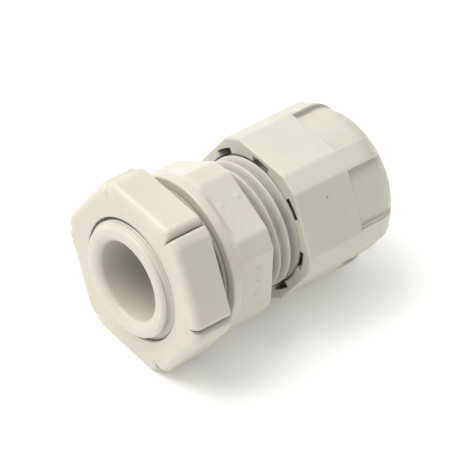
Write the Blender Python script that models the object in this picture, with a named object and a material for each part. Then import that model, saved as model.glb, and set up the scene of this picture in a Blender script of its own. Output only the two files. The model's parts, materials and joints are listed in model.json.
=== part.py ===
"""Cable gland: moulded body, lock nut, sealing washer, claw with bending fingers, rubber seal and dome nut.

The gland lies on its side. Its axis runs along +X, the end that goes into the enclosure is at -X, and the
cable comes in at +X. Stations along the axis are measured in millimetres from the face where the round
collar meets the body's hexagon, and the whole gland is then shifted so that the origin is under the middle
of its length, level with the lowest flats. Angles are measured round the axis from +Y towards +Z.
"""

import math

import bmesh
import bpy
import numpy as np
from mathutils import Matrix, Vector

MM = 0.001

# ---- driving sizes, in millimetres and degrees ----

RUNNING_GAP = 0.2        # radial clearance between mating threads
SEAT_GAP = 0.1           # clearance left between two faces that rest on each other
THREAD_DEPTH = 0.8

# gland body
ENTRY_THREAD_R = 7.6     # outer radius of the entry thread, from the thread standard
ENTRY_PITCH = 1.41
ENTRY_LENGTH = 8.0       # from the seat to the end of the entry tube
ENTRY_WALL = 2.7         # from the crest of the entry thread in to the bore
PILOT_INSET = 0.65       # the plain end ahead of the entry thread is this much inside its crest
PILOT_LENGTH = 0.7
THREAD_RELIEF = 0.5      # plain groove between a thread and the shoulder behind it
LIP_OUTER_ROUND = 0.5
LIP_INNER_ROUND = 0.8
COLLAR_LENGTH = 1.25
COLLAR_RIM = 1.09        # the collar stands this far out past the washer
COLLAR_STEP = 0.56       # and this far out past the hexagon's flats
SEAT_RELIEF = 0.1        # the seat and the lock nut are hollowed this deep where the washer lies
BODY_HEX_LENGTH = 4.86
BODY_FLAT_SHARE = 0.4246     # half the length of one flat over half the width across the flats
BODY_TURN = -5.2         # angle of the body's flats
UPPER_PITCH = 1.5
UPPER_THREAD_STEP = 0.35     # the upper thread is this much larger in radius than the entry thread
UPPER_LENGTH = 8.75      # length of the upper tube past the hexagon
UPPER_CREST_LEAD = 4.99  # a thread crest passes the top of the gland this far past the hexagon
SEAL_SEAT_WALL = 1.25    # from the root of the upper thread in to the counterbore for the seal
SEAL_SEAT_DEPTH = 5.6    # depth of that counterbore from the end of the upper tube
BODY_EDGE = 0.2          # bevel on the body's outer edges

# lock nut
LOCK_FRONT_GAP = 0.99    # the entry tube stands this far out of the lock nut
LOCK_THICKNESS = 4.9
LOCK_HALF_AF = 10.7      # half the width across the flats
LOCK_CORNER_STEP = 1.04  # the rounded corners stand this far out past the flats
LOCK_GROOVE_STEP = 0.25  # and so does the bottom of the groove beside each corner
LOCK_FALL_START = 22.0   # angle from the middle of a flat where the surface falls away to the groove
LOCK_GROOVE_ANGLE = 28.5
LOCK_FRONT_ROUND = 1.0
LOCK_BORE_BEVEL = 0.45
LOCK_TURN = 90.0

# sealing washer
WASHER_WIDTH = 1.15      # from the crest of the entry thread out to the rim
WASHER_THICKNESS = 0.4
WASHER_BORE_GAP = 0.15

# dome nut
DOME_OPENING = 4.98      # the nut stands this far off the body's hexagon
DOME_LENGTH = 15.2
DOME_WALL = 1.43         # from the crest of the upper thread out to the flats
DOME_FLAT_SHARE = 0.42   # half the length of one flat over half the width across the flats
DOME_TURN = 90.0
DOME_MOUTH_EDGE = 0.35
DOME_BORE_BEVEL = 0.3
DOME_LEAD_IN = 0.4       # from the mouth to the first thread
PAD_FLOOR_INSET = 0.13   # the recessed pads are this much below the flats
PAD_LENGTH = 7.1         # from the end of the nut back to the start of the pads
PAD_STEP = 0.1
PAD_ROUND_LENGTH = 3.7   # the pads' floor curves in over this much of the nut's end
PAD_ROUND_DROP = 3.3
RIB_ANGLE = 1.3          # each rib's wall is this far inside its flat's end
RIB_WALL_ANGLE = 0.8
RIB_ROUND_LENGTH = 4.4   # the ribs curve in over this much of the nut's end
RIB_ROUND_DROP = 4.4
RIB_END_INSET = 0.3
EXIT_LAND = 0.9          # straight part of the exit hole
EXIT_EDGE = 0.3
CONE_LEAD = 1.52         # the inner cone starts this far before the tips of the fingers
CONE_RELIEF = 1.0        # and this far after the end of the thread
NOTCH_COUNT = 8
NOTCH_RISE = 0.92        # the notches reach this far out past the crest of the upper thread
NOTCH_DEPTH = 1.3
NOTCH_WIDTH = 2.7
NOTCH_FIRST = 1.0

# claw
FINGER_COUNT = 8
CLAW_FLANGE_INSET = 0.3  # the flange is this much inside the root of the upper thread
CLAW_RING_LENGTH = 1.15
FINGER_SHARE = 0.375     # length of the fingers over the length of the dome nut
FINGER_INSET = 0.35      # the fingers stand this far inside the flange
FINGER_THICKNESS = 1.0
FINGER_ROOT_HALF = 17.5  # half the angle that a finger covers at its root
FINGER_TIP_HALF = 14.5   # and at its tip
FINGER_TOOTH = 0.35
FINGER_TIP_START = 0.8   # share of the finger's length where its back starts to taper
FINGER_TIP_TAPER = 0.5

# rubber seal
SEAL_LIP = 0.8           # the seal's bore is this much smaller than the body's
SEAL_NOSE_LENGTH = 2.6   # the part of the seal that stands inside the fingers
SEAL_NOSE_WALL = 0.45
SEAL_SIDE_GAP = 0.15
SEAL_BEVEL = 0.6

ROWS_PER_PITCH = 6

# ---- radii that follow from those ----

ENTRY_ROOT_R = ENTRY_THREAD_R - THREAD_DEPTH
PILOT_R = ENTRY_THREAD_R - PILOT_INSET
BORE_R = ENTRY_THREAD_R - ENTRY_WALL
WASHER_R = ENTRY_THREAD_R + WASHER_WIDTH
SEAT_RING_R = WASHER_R + SEAT_GAP
COLLAR_R = WASHER_R + COLLAR_RIM
BODY_HALF_AF = COLLAR_R - COLLAR_STEP
UPPER_THREAD_R = ENTRY_THREAD_R + UPPER_THREAD_STEP
UPPER_ROOT_R = UPPER_THREAD_R - THREAD_DEPTH
SEAL_SEAT_R = UPPER_ROOT_R - SEAL_SEAT_WALL
LOCK_BORE_R = ENTRY_THREAD_R + RUNNING_GAP
LOCK_CORNER_R = LOCK_HALF_AF + LOCK_CORNER_STEP
LOCK_GROOVE_R = LOCK_HALF_AF + LOCK_GROOVE_STEP
DOME_HALF_AF = UPPER_THREAD_R + DOME_WALL
DOME_BORE_R = UPPER_THREAD_R + RUNNING_GAP
DOME_MINOR_R = UPPER_ROOT_R + RUNNING_GAP
PAD_FLOOR_R = DOME_HALF_AF - PAD_FLOOR_INSET
NOTCH_R = UPPER_THREAD_R + NOTCH_RISE
EXIT_R = BORE_R
CLAW_FLANGE_R = UPPER_ROOT_R - CLAW_FLANGE_INSET
FINGER_OUTER_R = CLAW_FLANGE_R - FINGER_INSET
FINGER_INNER_R = FINGER_OUTER_R - FINGER_THICKNESS
SEAL_R = SEAL_SEAT_R - SEAL_SIDE_GAP
SEAL_SHOULDER_R = FINGER_INNER_R - SEAL_SIDE_GAP
SEAL_BORE_R = BORE_R - SEAL_LIP
SEAL_NOSE_R = SEAL_BORE_R + SEAL_NOSE_WALL

# ---- stations that follow from those ----

SEAT = -COLLAR_LENGTH
ENTRY_END = SEAT - ENTRY_LENGTH
ENTRY_CREST_STATION = SEAT - ENTRY_PITCH
LOCK_FRONT = ENTRY_END + LOCK_FRONT_GAP
LOCK_BACK = LOCK_FRONT + LOCK_THICKNESS
WASHER_BACK = SEAT - SEAT_GAP
WASHER_FRONT = WASHER_BACK - WASHER_THICKNESS
HEX_END = BODY_HEX_LENGTH
TUBE_END = HEX_END + UPPER_LENGTH
UPPER_CREST_STATION = HEX_END + UPPER_CREST_LEAD
DOME_MOUTH = HEX_END + DOME_OPENING
DOME_END = DOME_MOUTH + DOME_LENGTH
CLAW_BASE = TUBE_END + SEAT_GAP
CLAW_TOP = CLAW_BASE + CLAW_RING_LENGTH - SEAT_GAP
HINGE_STATION = CLAW_BASE + CLAW_RING_LENGTH
FINGER_LENGTH = FINGER_SHARE * DOME_LENGTH
FINGER_TIP = HINGE_STATION + FINGER_LENGTH
CONE_START = FINGER_TIP - CONE_LEAD
DOME_THREAD_END = CONE_START - CONE_RELIEF
SEAL_BASE = TUBE_END - SEAL_SEAT_DEPTH + SEAT_GAP
SEAL_TIP = CLAW_TOP + SEAL_NOSE_LENGTH

MID_STATION = (ENTRY_END + DOME_END) / 2
AXIS_HEIGHT = LOCK_HALF_AF

TURN = 360.0
SECTOR = TURN / 6


# ---- scene and mesh helpers ----

def clear_scene():
    for item in list(bpy.data.objects):
        bpy.data.objects.remove(item)


def make_material(name, colour, roughness, metallic=0.0):
    material = bpy.data.materials.new(name)
    material.use_nodes = True
    shader = material.node_tree.nodes["Principled BSDF"]
    shader.inputs["Base Color"].default_value = (*colour, 1.0)
    shader.inputs["Roughness"].default_value = roughness
    shader.inputs["Metallic"].default_value = metallic
    return material


def place(station, radius, angle):
    """World points, in metres, of stations, radii and angles in degrees round the gland's axis."""
    station, radius, angle = np.broadcast_arrays(station, radius, np.radians(angle))
    x = (station - MID_STATION) * MM
    y = radius * np.cos(angle) * MM
    z = (radius * np.sin(angle) + AXIS_HEIGHT) * MM
    return np.stack([x, y, z], axis=-1)


def mesh_object(name, points, faces, material, origin=(0.0, 0.0, 0.0)):
    """An object with its origin at a world point and its faces turned outwards."""
    mesh = bpy.data.meshes.new(name)
    local = np.asarray(points, dtype=float).reshape(-1, 3) - np.array(origin)
    mesh.from_pydata(local.tolist(), [], faces)
    work = bmesh.new()
    work.from_mesh(mesh)
    bmesh.ops.recalc_face_normals(work, faces=work.faces)
    work.to_mesh(mesh)
    work.free()
    mesh.materials.append(material)
    mesh.shade_smooth()
    mesh.set_sharp_from_angle(angle=math.radians(28.0))
    item = bpy.data.objects.new(name, mesh)
    item.location = origin
    bpy.context.collection.objects.link(item)
    return item


def turned(name, rows, angles, material, origin):
    """A closed ring: each row is (station, radius), a number or one value for each angle, and the last
    row joins the first."""
    points = np.stack([place(s, r, angles) for s, r in rows])
    row_count, column_count = len(rows), len(angles)
    faces = []
    for i in range(row_count):
        below = i * column_count
        above = (i + 1) % row_count * column_count
        for j in range(column_count):
            k = (j + 1) % column_count
            faces.append((below + j, below + k, above + k, above + j))
    return mesh_object(name, points, faces, material, origin)


def on_axis(station):
    return tuple(place(station, 0.0, 0.0).tolist())


# ---- outlines and threads ----

def from_flat(angles, turn):
    """Each angle measured from the middle of the nearest of six flats, and so between -30 and 30 degrees."""
    return (np.asarray(angles) - turn + SECTOR / 2) % SECTOR - SECTOR / 2


def cut_hexagon(angles, half_af, flat_share, turn):
    """Radius of a hexagon whose corners are cut off square. Each flat is flat_share of its width long."""
    offset = np.radians(from_flat(angles, turn))
    half_sector = math.radians(SECTOR / 2)
    facet = half_af * (math.cos(half_sector) + flat_share * math.sin(half_sector))
    on_flat = np.abs(offset) <= math.atan(flat_share)
    return np.where(on_flat, half_af / np.cos(offset), facet / np.cos(half_sector - np.abs(offset)))


def hexagon_angles(flat_share, turn, extra=()):
    """Angles that hit each end of each flat, with a few more between them."""
    end = math.degrees(math.atan(flat_share))
    flat = np.linspace(-end, end, 5)
    corner = [SECTOR / 2]
    sector = np.unique(np.round(np.concatenate([flat, corner, np.array(extra, dtype=float)]), 6))
    return around(turn, sector)


def around(turn, sector):
    """The angles of one sector of a hexagon, repeated six times round the axis."""
    return np.concatenate([turn + SECTOR * k + sector for k in range(6)])


def thread_radius(station, angles, outer, pitch, crest_station):
    """Right-handed thread with rounded crests and roots, one crest at crest_station where the angle is 90."""
    phase = (station - crest_station - pitch * (np.asarray(angles) - 90.0) / TURN) / pitch
    return outer - THREAD_DEPTH / 2 + THREAD_DEPTH / 2 * np.cos(2 * math.pi * phase)


def thread_rows(start, end, angles, outer, pitch, crest_station, low_end, high_end, inside=False):
    """Rows of a thread between two stations. The first and last turn fade out to a plain radius."""
    count = max(2, round((end - start) / pitch * ROWS_PER_PITCH))
    rows = []
    for station in np.linspace(start, end, count + 1):
        radius = thread_radius(station, angles, outer, pitch, crest_station)
        to_start = abs(station - start)
        to_end = abs(end - station)
        if inside:
            radius = np.maximum(radius, max(low_end - to_start, high_end - to_end))
        else:
            radius = np.minimum(radius, min(low_end + to_start, high_end + to_end))
        rows.append((station, radius))
    return rows


def arc(centre_station, centre_radius, size, start, end, steps):
    """Points of an arc in the plane of the axis, its angles measured from +X towards outwards."""
    sweep = np.radians(np.linspace(start, end, steps + 1))
    return [(centre_station + size * math.cos(t), centre_radius + size * math.sin(t)) for t in sweep]


# ---- the pieces ----

def make_body(material):
    angles = hexagon_angles(BODY_FLAT_SHARE, BODY_TURN)
    hexagon = cut_hexagon(angles, BODY_HALF_AF, BODY_FLAT_SHARE, BODY_TURN)
    edge = BODY_EDGE
    seal_seat = TUBE_END - SEAL_SEAT_DEPTH
    rows = arc(ENTRY_END + LIP_OUTER_ROUND, PILOT_R - LIP_OUTER_ROUND, LIP_OUTER_ROUND, 180.0, 90.0, 3)
    rows += thread_rows(ENTRY_END + PILOT_LENGTH, SEAT - THREAD_RELIEF, angles, ENTRY_THREAD_R, ENTRY_PITCH,
                        ENTRY_CREST_STATION, PILOT_R, ENTRY_ROOT_R)
    rows += [(SEAT + SEAT_RELIEF, ENTRY_ROOT_R), (SEAT + SEAT_RELIEF, SEAT_RING_R)]
    rows += [(SEAT, SEAT_RING_R), (SEAT, COLLAR_R - edge)]
    rows += [(SEAT + edge, COLLAR_R), (0.0, COLLAR_R), (edge, hexagon)]
    rows += [(HEX_END - edge, hexagon), (HEX_END, hexagon - edge), (HEX_END, UPPER_ROOT_R)]
    rows += thread_rows(HEX_END + THREAD_RELIEF, TUBE_END - edge, angles, UPPER_THREAD_R, UPPER_PITCH,
                        UPPER_CREST_STATION, UPPER_ROOT_R, UPPER_ROOT_R)
    rows += [(TUBE_END, UPPER_ROOT_R - edge), (TUBE_END, SEAL_SEAT_R + edge), (TUBE_END - edge, SEAL_SEAT_R)]
    rows += [(seal_seat, SEAL_SEAT_R), (seal_seat, BORE_R)]
    rows += arc(ENTRY_END + LIP_INNER_ROUND, BORE_R + LIP_INNER_ROUND, LIP_INNER_ROUND, 270.0, 180.0, 3)
    return turned("gland_body", rows, angles, material, on_axis(SEAT))


def lock_nut_outline(angles):
    """Hexagon with rounded corners, each with a groove along the axis just before the next flat starts."""
    offset = from_flat(angles, LOCK_TURN)
    flat = np.minimum(LOCK_HALF_AF / np.cos(np.radians(offset)), LOCK_CORNER_R)
    fall = np.clip((offset - LOCK_FALL_START) / (LOCK_GROOVE_ANGLE - LOCK_FALL_START), 0.0, 1.0)
    start_r = LOCK_HALF_AF / math.cos(math.radians(LOCK_FALL_START))
    rounded = LOCK_GROOVE_R + (start_r - LOCK_GROOVE_R) * np.sqrt(1.0 - fall ** 2)
    return np.where(offset > LOCK_FALL_START, rounded, flat)


def make_lock_nut(material):
    rise = LOCK_GROOVE_ANGLE - SECTOR + 4.0
    flat = np.linspace(-24.0, 16.0, 6)
    fall = LOCK_FALL_START + (LOCK_GROOVE_ANGLE - LOCK_FALL_START) * np.array([0.0, 0.54, 0.86, 1.0])
    angles = around(LOCK_TURN, np.concatenate([[rise], flat, fall]))
    outline = lock_nut_outline(angles)
    rows = [(LOCK_FRONT, LOCK_BORE_R), (LOCK_FRONT, outline - LOCK_FRONT_ROUND)]
    for tilt in (30.0, 60.0, 90.0):
        inset = LOCK_FRONT_ROUND * (1.0 - math.sin(math.radians(tilt)))
        depth = LOCK_FRONT_ROUND * (1.0 - math.cos(math.radians(tilt)))
        rows.append((LOCK_FRONT + depth, outline - inset))
    rows += [(LOCK_BACK, outline), (LOCK_BACK, SEAT_RING_R)]
    rows += [(LOCK_BACK - SEAT_RELIEF, SEAT_RING_R), (LOCK_BACK - SEAT_RELIEF, LOCK_BORE_R)]
    minor = LOCK_BORE_R - LOCK_BORE_BEVEL
    threads = thread_rows(LOCK_FRONT + LOCK_BORE_BEVEL, LOCK_BACK - LOCK_BORE_BEVEL, angles, LOCK_BORE_R,
                          ENTRY_PITCH, ENTRY_CREST_STATION, minor, minor, inside=True)
    rows += threads[::-1]
    return turned("lock_nut", rows, angles, material, on_axis(LOCK_BACK))


def make_washer(material):
    angles = np.linspace(0.0, TURN, 48, endpoint=False)
    inner = ENTRY_THREAD_R + WASHER_BORE_GAP
    rows = [(WASHER_FRONT, inner), (WASHER_FRONT, WASHER_R), (WASHER_BACK, WASHER_R), (WASHER_BACK, inner)]
    return turned("sealing_washer", rows, angles, material, on_axis(WASHER_BACK))


def quarter_ellipse(station, start, end, radius, drop):
    """Radius of a profile that is straight up to start, then curves in by drop on its way to end."""
    along = np.clip((station - start) / (end - start), 0.0, 1.0)
    return radius - drop * (1.0 - math.sqrt(1.0 - along ** 2))


def dome_outline(station, angles):
    """Outside of the dome nut past the start of the pads: a turned floor with six ribs at the corners."""
    floor = quarter_ellipse(station, DOME_END - PAD_ROUND_LENGTH, DOME_END, PAD_FLOOR_R, PAD_ROUND_DROP)
    corner = DOME_HALF_AF * math.hypot(1.0, DOME_FLAT_SHARE)
    rib_end = DOME_END - RIB_END_INSET
    crest = quarter_ellipse(station, DOME_END - RIB_ROUND_LENGTH, rib_end, corner, RIB_ROUND_DROP)
    hexagon = cut_hexagon(angles, DOME_HALF_AF, DOME_FLAT_SHARE, DOME_TURN)
    rib = np.maximum(hexagon * crest / corner, floor)
    wall = math.degrees(math.atan(DOME_FLAT_SHARE)) - RIB_ANGLE
    on_pad = np.abs(from_flat(angles, DOME_TURN)) < wall + RIB_WALL_ANGLE / 2
    return station, np.where(on_pad, floor, rib)


def make_dome_nut(material):
    wall = math.degrees(math.atan(DOME_FLAT_SHARE)) - RIB_ANGLE
    extra = (-wall - RIB_WALL_ANGLE, -wall, wall, wall + RIB_WALL_ANGLE)
    angles = hexagon_angles(DOME_FLAT_SHARE, DOME_TURN, extra)
    hexagon = cut_hexagon(angles, DOME_HALF_AF, DOME_FLAT_SHARE, DOME_TURN)
    pads = DOME_END - PAD_LENGTH
    rows = [(DOME_MOUTH, DOME_BORE_R), (DOME_MOUTH, hexagon - DOME_MOUTH_EDGE)]
    rows += [(DOME_MOUTH + DOME_MOUTH_EDGE, hexagon), (pads, hexagon), dome_outline(pads + PAD_STEP, angles)]
    for sweep in np.linspace(0.0, math.pi / 2, 7):
        rows.append(dome_outline(DOME_END - RIB_ROUND_LENGTH * (1.0 - math.sin(sweep)), angles))
    rows += [(DOME_END, EXIT_R + EXIT_EDGE), (DOME_END - EXIT_EDGE, EXIT_R), (DOME_END - EXIT_LAND, EXIT_R)]
    rows += [(CONE_START, DOME_MINOR_R), (DOME_THREAD_END, DOME_MINOR_R)]
    threads = thread_rows(DOME_MOUTH + DOME_LEAD_IN, DOME_THREAD_END - DOME_BORE_BEVEL, angles, DOME_BORE_R,
                          UPPER_PITCH, UPPER_CREST_STATION, DOME_BORE_R - DOME_BORE_BEVEL, DOME_MINOR_R,
                          inside=True)
    rows += threads[::-1]
    nut = turned("dome_nut", rows, angles, material, on_axis(DOME_MOUTH))
    for index in range(NOTCH_COUNT):
        cut_notch(nut, index)
    return nut


def cut_notch(nut, index):
    """Cuts one of the shallow notches round the mouth of the dome nut."""
    angle = NOTCH_FIRST + TURN / NOTCH_COUNT * index
    inner = UPPER_ROOT_R
    bpy.ops.mesh.primitive_cube_add(size=1.0)
    cutter = bpy.context.object
    cutter.name = f"notch_cutter_{index + 1}"
    centre = Vector(place(DOME_MOUTH, (inner + NOTCH_R) / 2, angle).tolist())
    size = Matrix.Diagonal((2 * NOTCH_DEPTH * MM, (NOTCH_R - inner) * MM, NOTCH_WIDTH * MM, 1.0))
    cutter.data.transform(Matrix.Translation(centre) @ Matrix.Rotation(math.radians(angle), 4, "X") @ size)
    cutter.hide_render = True
    cutter.display_type = "WIRE"
    cut = nut.modifiers.new(f"notch_{index + 1}", "BOOLEAN")
    cut.operation = "DIFFERENCE"
    cut.solver = "EXACT"
    cut.object = cutter


def make_claw_ring(material):
    angles = np.linspace(0.0, TURN, 48, endpoint=False)
    rows = [(CLAW_BASE, SEAL_SEAT_R), (CLAW_BASE, CLAW_FLANGE_R)]
    rows += [(CLAW_TOP, CLAW_FLANGE_R), (CLAW_TOP, SEAL_SEAT_R)]
    return turned("claw_ring", rows, angles, material, on_axis(CLAW_BASE))


def make_finger(index, material):
    """One finger of the claw, with its origin on the line where it bends."""
    middle = TURN / FINGER_COUNT * index + DOME_TURN
    inner = FINGER_INNER_R
    tooth = inner - FINGER_TOOTH
    outer = FINGER_OUTER_R
    profile = [
        (0.0, inner, outer),
        (0.62, inner, outer),
        (0.70, tooth, outer),
        (FINGER_TIP_START, inner, outer),
        (0.90, tooth, outer - FINGER_TIP_TAPER / 2),
        (1.0, (inner + tooth) / 2, outer - FINGER_TIP_TAPER),
    ]
    columns = 5
    points = []
    for share, low, high in profile:
        half = FINGER_ROOT_HALF + (FINGER_TIP_HALF - FINGER_ROOT_HALF) * share
        sweep = middle + np.linspace(-half, half, columns)
        station = HINGE_STATION + FINGER_LENGTH * share
        points.append(np.concatenate([place(station, high, sweep), place(station, low, sweep[::-1])]))
    loop = 2 * columns
    faces = []
    for i in range(len(profile) - 1):
        for j in range(loop):
            k = (j + 1) % loop
            faces.append((i * loop + j, i * loop + k, (i + 1) * loop + k, (i + 1) * loop + j))
    for base in (0, (len(profile) - 1) * loop):
        for j in range(columns - 1):
            faces.append((base + j, base + j + 1, base + loop - 2 - j, base + loop - 1 - j))
    hinge = place(HINGE_STATION, (inner + outer) / 2, middle)
    return mesh_object(f"claw_finger_{index + 1}", np.concatenate(points), faces, material, tuple(hinge.tolist()))


def make_seal(material):
    angles = np.linspace(0.0, TURN, 36, endpoint=False)
    rows = [(SEAL_BASE, SEAL_BORE_R + SEAL_BEVEL), (SEAL_BASE, SEAL_R), (CLAW_TOP - SEAL_BEVEL, SEAL_R)]
    rows += [(CLAW_TOP, SEAL_SHOULDER_R), (SEAL_TIP, SEAL_NOSE_R), (SEAL_TIP, SEAL_BORE_R)]
    rows += [(SEAL_BASE + SEAL_BEVEL, SEAL_BORE_R)]
    return turned("rubber_seal", rows, angles, material, on_axis(SEAL_BASE))


def build():
    clear_scene()
    grey = (0.76, 0.73, 0.62)
    make_body(make_material("body_polyamide", grey, 0.42))
    make_lock_nut(make_material("lock_nut_polyamide", grey, 0.45))
    make_washer(make_material("washer_polyethylene", (0.72, 0.72, 0.66), 0.5))
    make_dome_nut(make_material("dome_nut_polyamide", grey, 0.42))
    make_claw_ring(make_material("claw_ring_polyamide", (0.72, 0.70, 0.60), 0.45))
    for index in range(FINGER_COUNT):
        make_finger(index, make_material(f"claw_finger_{index + 1}_polyamide", (0.72, 0.70, 0.60), 0.45))
    make_seal(make_material("nitrile_rubber", (0.02, 0.02, 0.02), 0.7))


build()
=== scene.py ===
# %% [markdown]
# # A moulded cable gland, lying on its side
#
# A cable gland holds a cable where it enters an enclosure. The entry thread goes through a hole in the
# wall and is held by the lock nut. At the other end the dome nut squeezes a claw and a rubber seal on to
# the cable. Apart from the seal and the washer, every piece is injection moulded in light grey polyamide.
#
# The imported CAD model is the frame: it fixes every size, place and joint. This lesson builds the finer
# surfaces that the eye sees, lets each one ride on its CAD body, and gives everything a real finish.

# %% [markdown]
# ## 1. Load the frame
#
# Each CAD part is imported, set into world space, and hung on its rigid body as model.json groups them.

import json
import math

import bpy
import numpy as np
from mathutils import Matrix, Vector

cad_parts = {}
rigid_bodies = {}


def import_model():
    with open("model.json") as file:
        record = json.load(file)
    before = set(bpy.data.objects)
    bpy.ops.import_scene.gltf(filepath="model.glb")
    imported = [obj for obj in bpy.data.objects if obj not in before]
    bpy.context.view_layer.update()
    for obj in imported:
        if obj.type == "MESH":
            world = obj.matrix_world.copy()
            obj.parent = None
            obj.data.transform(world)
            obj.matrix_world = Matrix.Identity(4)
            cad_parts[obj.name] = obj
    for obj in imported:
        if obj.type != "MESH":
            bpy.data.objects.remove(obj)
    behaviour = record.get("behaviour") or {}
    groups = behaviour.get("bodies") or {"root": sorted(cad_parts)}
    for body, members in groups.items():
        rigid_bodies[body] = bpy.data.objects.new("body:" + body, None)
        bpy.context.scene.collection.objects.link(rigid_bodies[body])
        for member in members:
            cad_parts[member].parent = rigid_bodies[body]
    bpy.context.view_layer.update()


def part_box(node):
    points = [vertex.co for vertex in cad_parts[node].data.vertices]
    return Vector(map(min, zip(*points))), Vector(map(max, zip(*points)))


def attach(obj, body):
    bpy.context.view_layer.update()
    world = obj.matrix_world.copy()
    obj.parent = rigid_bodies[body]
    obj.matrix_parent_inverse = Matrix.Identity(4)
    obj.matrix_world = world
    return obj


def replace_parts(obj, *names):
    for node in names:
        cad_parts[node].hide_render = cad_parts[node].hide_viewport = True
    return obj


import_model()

# %% [markdown]
# ## 2. Sizes
#
# All sizes are millimetres, and stations run along the axis from the face where the collar meets the
# body's hexagon. What a box can tell is read from the frame, so that the looks follow it: where each
# piece starts and ends, and how far it reaches from the axis. The rest repeats the CAD's own sizes,
# because a box can't say how deep a thread is or where a hexagon stops.

# %% Sizes read from the frame
MM = 0.001
TURN = 360.0             # degrees once round
SECTOR = 60.0            # six flats go round each hexagon

SEAT = -1.25             # the collar's flat face, where the washer lies
ENTRY_END = SEAT - 8.0
MID_STATION = round(ENTRY_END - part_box("gland_body")[0].x / MM, 3)


def span(node):
    """First and last station of a CAD node: its lowest and highest x, plus the frame's own station."""
    low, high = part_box(node)
    return round(low.x / MM + MID_STATION, 3), round(high.x / MM + MID_STATION, 3)


def reach(node):
    """How far a CAD node reaches up and down from the axis: half of its height."""
    low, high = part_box(node)
    return round((high.z - low.z) / 2 / MM, 3)


TUBE_END = span("gland_body")[1]
LOCK_FRONT, LOCK_BACK = span("lock_nut")
DOME_MOUTH, DOME_END = span("dome_nut")
LOCK_HALF_AF, DOME_HALF_AF = reach("lock_nut"), reach("dome_nut")
AXIS_HEIGHT = LOCK_HALF_AF
print("stations: tube to", TUBE_END, "lock nut from", LOCK_FRONT, "dome nut from", DOME_MOUTH)

# %% Sizes repeated from the CAD
THREAD_DEPTH = 0.8
RUNNING_GAP = 0.2        # between a thread and the nut on it
CREST_WIDTH = 0.16       # flat top of a thread
FLANK_WIDTH = 0.50       # length of each sloping side along the axis

ENTRY_R, ENTRY_PITCH, ENTRY_CREST = 7.6, 1.41, SEAT - 1.41
UPPER_R, UPPER_PITCH, UPPER_CREST = 7.95, 1.5, 9.85
ENTRY_ROOT_R, UPPER_ROOT_R = ENTRY_R - THREAD_DEPTH, UPPER_R - THREAD_DEPTH
PILOT_R = 6.95           # the plain tip of the entry tube
BORE_R = 4.9
COLLAR_R = 9.84
HEX_END = 4.86
BODY_HALF_AF, BODY_FLAT_SHARE, BODY_TURN = 9.28, 0.4246, -5.2
SEAL_SEAT_R, SEAL_SEAT_DEPTH = 5.9, 5.6
DOME_FLAT_SHARE, DOME_TURN = 0.42, 90.0

# %% [markdown]
# ## 3. Surfaces made of rings
#
# Almost every piece here is a ring: a profile that goes once round the section and joins up with
# itself, and that changes with the angle round the axis where there are flats, ribs, notches or a
# thread. It could be spun from a curve and then cut, but cuts leave ragged faces. So one function turns
# a grid of stations and radii into a closed mesh, and another rounds the profile's corners, as every
# moulded corner is rounded.

# %% Placing and rounding a profile
def place(station, radius, angle):
    """World points in metres: x is the station less the middle one, y the radius times the angle's
    cosine, and z the radius times its sine plus the axis's height. Angles are degrees."""
    station, radius, angle = np.broadcast_arrays(station, radius, np.radians(angle))
    x = (station - MID_STATION) * MM
    y = radius * np.cos(angle) * MM
    z = (radius * np.sin(angle) + AXIS_HEIGHT) * MM
    return np.stack([x, y, z], axis=-1)


def grid(rows, angles):
    """Rows of (station, radius), each one number or one per angle, as one array of rows by angles by 2."""
    flat = np.zeros(len(angles))
    return np.stack([np.stack([flat + s, flat + r], axis=-1) for s, r in rows])


def rounded(rows, angles, size, steps=4):
    """Each corner of an open profile becomes a parabola that starts and ends size away from the corner,
    or less where a side is short: (1-t)^2 of the start, 2t(1-t) of the corner and t^2 of the end."""
    p = grid(rows, angles)
    before, corner, after = p[:-2], p[1:-1], p[2:]
    back, ahead = before - corner, after - corner
    len_back = np.linalg.norm(back, axis=-1, keepdims=True) + 1e-9
    len_ahead = np.linalg.norm(ahead, axis=-1, keepdims=True) + 1e-9
    start = corner + back / len_back * np.minimum(size, 0.45 * len_back)
    end = corner + ahead / len_ahead * np.minimum(size, 0.45 * len_ahead)
    t = np.linspace(0.0, 1.0, steps + 1).reshape(-1, 1, 1, 1)
    arcs = (1 - t) ** 2 * start + 2 * t * (1 - t) * corner + t ** 2 * end
    arcs = np.moveaxis(arcs, 0, 1).reshape(-1, len(angles), 2)
    return np.concatenate([p[:1], arcs, p[-1:]])


# %% From a profile to a mesh
def new_piece(name, points, faces):
    """A smooth-shaded piece at the origin, from arrays of points and lists of faces."""
    mesh = bpy.data.meshes.new(name)
    mesh.from_pydata(points.tolist(), [], faces)
    mesh.shade_smooth()
    item = bpy.data.objects.new(name, mesh)
    bpy.context.scene.collection.objects.link(item)
    return item


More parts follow.
